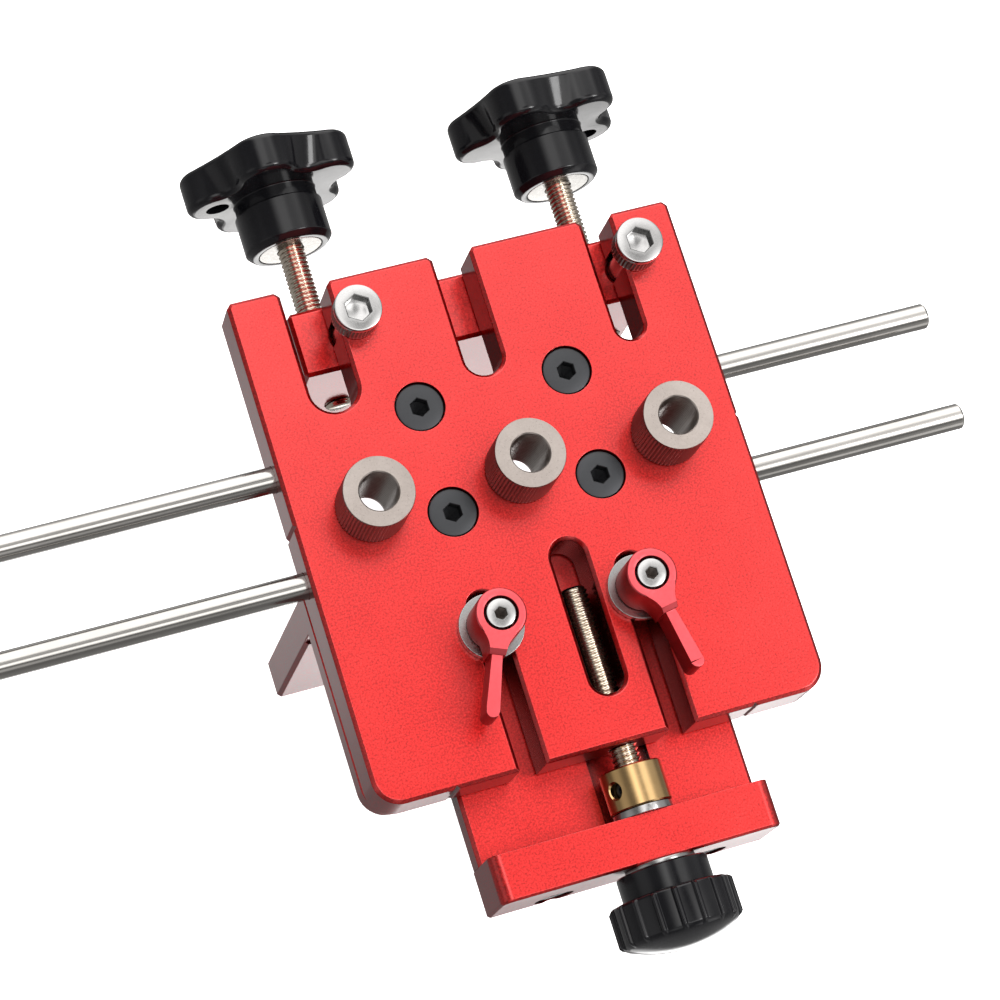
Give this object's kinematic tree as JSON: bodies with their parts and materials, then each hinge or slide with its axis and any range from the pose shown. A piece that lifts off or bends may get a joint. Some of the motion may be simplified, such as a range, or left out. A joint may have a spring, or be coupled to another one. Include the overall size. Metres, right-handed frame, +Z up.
{
  "type": "self-centring doweling jig",
  "caption": "Doweling jig: a drill-guide plate with a rear block, a screw-driven sliding fence, lever clamps, star-knob clamp screws and guide rods.",
  "frame": {"origin": "where the axis of the middle drill guide crosses the top face of the plate", "axes": "+Z up along the drill guides, +X along the row of guides to the right as the adjuster knob faces the user, +Y away from the user, towards the two star knobs"},
  "size_m": [0.25, 0.1916, 0.0867],
  "materials": {
    "red_anodised": "fine bead-blasted, bright red anodised",
    "red_lever": "smooth satin red coating",
    "steel_rod": "ground and polished",
    "stainless": "turned and brushed stainless",
    "black_oxide": "black oxide, slightly oily",
    "nickel_guide": "satin nickel, straight knurl on the head",
    "brass_collar": "satin turned",
    "zinc_thread": "rolled thread, bright zinc",
    "black_plastic": "polished black phenolic",
    "pale_insert": "bright plated",
    "spring_steel": "bright wire"
  },
  "bodies": {
    "plate": {"main_plate": "red_anodised", "rear_clamp_block": "red_anodised", "block_screw_left": "stainless", "block_screw_right": "stainless", "drill_guide_left": "nickel_guide", "drill_guide_centre": "nickel_guide", "drill_guide_right": "nickel_guide", "rod_lock_screw_rear_left": "black_oxide", "rod_lock_screw_rear_right": "black_oxide", "rod_lock_screw_front_left": "black_oxide", "rod_lock_screw_front_right": "black_oxide"},
    "rod_rear": {"guide_rod_rear": "steel_rod"},
    "rod_front": {"guide_rod_front": "steel_rod"},
    "jaw": {"sliding_jaw": "red_anodised", "jaw_end_plate": "red_anodised", "end_plate_screw_left": "black_oxide", "end_plate_screw_right": "black_oxide", "thrust_washer_inner": "stainless", "thrust_washer_outer": "stainless", "lever_stud_left": "zinc_thread", "lever_stud_right": "zinc_thread", "lever_washer_left": "stainless", "lever_washer_right": "stainless"},
    "lead": {"lead_screw": "zinc_thread", "lead_collar": "brass_collar", "collar_set_screw": "black_oxide", "adjuster_knob": "black_plastic"},
    "lever_left_core": {"lever_insert_left": "stainless", "lever_screw_left": "stainless", "lever_spring_left": "spring_steel"},
    "lever_left_grip": {"lever_handle_left": "red_lever"},
    "clamp_left_insert": {"star_knob_insert_left": "pale_insert"},
    "clamp_left": {"clamp_screw_left": "zinc_thread", "star_knob_left": "black_plastic"},
    "lever_right_core": {"lever_insert_right": "stainless", "lever_screw_right": "stainless", "lever_spring_right": "spring_steel"},
    "lever_right_grip": {"lever_handle_right": "red_lever"},
    "clamp_right_insert": {"star_knob_insert_right": "pale_insert"},
    "clamp_right": {"clamp_screw_right": "zinc_thread", "star_knob_right": "black_plastic"}
  },
  "joints": [
    {"name": "jaw_slide", "type": "slide", "parent": "plate", "child": "jaw", "axis": [0, 1, 0], "range_m": [-0.022, 0.0042]},
    {"name": "lead_spin", "type": "hinge", "parent": "jaw", "child": "lead", "pos_m": [0.0042, -0.09, -0.006], "axis": [0, 1, 0], "range_deg": [-7921, 1513]},
    {"name": "rod_rear_slide", "type": "slide", "parent": "plate", "child": "rod_rear", "axis": [1, 0, 0], "range_m": [-0.045, 0.1]},
    {"name": "rod_front_slide", "type": "slide", "parent": "plate", "child": "rod_front", "axis": [1, 0, 0], "range_m": [-0.045, 0.1]},
    {"name": "lever_left_turn", "type": "hinge", "parent": "jaw", "child": "lever_left_core", "pos_m": [-0.016, -0.0302, 0.002], "axis": [0, 0, 1], "range_deg": [-45, 90]},
    {"name": "lever_left_lift", "type": "slide", "parent": "lever_left_core", "child": "lever_left_grip", "axis": [0, 0, 1], "range_m": [0, 0.0015], "stiffness_N_per_m": 500, "springref_m": -0.003, "deforming": ["lever_spring_left"]},
    {"name": "clamp_left_travel", "type": "slide", "parent": "plate", "child": "clamp_left_insert", "axis": [0, 1, 0], "range_m": [-0.02, 0.001]},
    {"name": "clamp_left_spin", "type": "hinge", "parent": "clamp_left_insert", "child": "clamp_left", "pos_m": [-0.0239, 0.075, -0.037], "axis": [0, 1, 0], "range_deg": [-7201, 361]},
    {"name": "lever_right_turn", "type": "hinge", "parent": "jaw", "child": "lever_right_core", "pos_m": [0.016, -0.0302, 0.002], "axis": [0, 0, 1], "range_deg": [-45, 90]},
    {"name": "lever_right_lift", "type": "slide", "parent": "lever_right_core", "child": "lever_right_grip", "axis": [0, 0, 1], "range_m": [0, 0.0015], "stiffness_N_per_m": 500, "springref_m": -0.003, "deforming": ["lever_spring_right"]},
    {"name": "clamp_right_travel", "type": "slide", "parent": "plate", "child": "clamp_right_insert", "axis": [0, 1, 0], "range_m": [-0.02, 0.001]},
    {"name": "clamp_right_spin", "type": "hinge", "parent": "clamp_right_insert", "child": "clamp_right", "pos_m": [0.038, 0.075, -0.037], "axis": [0, 1, 0], "range_deg": [-7201, 361]}
  ],
  "couplings": [
    {"joint": "lead_spin", "follows": "jaw_slide", "rad_per_m": 6283.2},
    {"joint": "clamp_left_spin", "follows": "clamp_left_travel", "rad_per_m": 6283.2},
    {"joint": "clamp_right_spin", "follows": "clamp_right_travel", "rad_per_m": 6283.2}
  ]
}
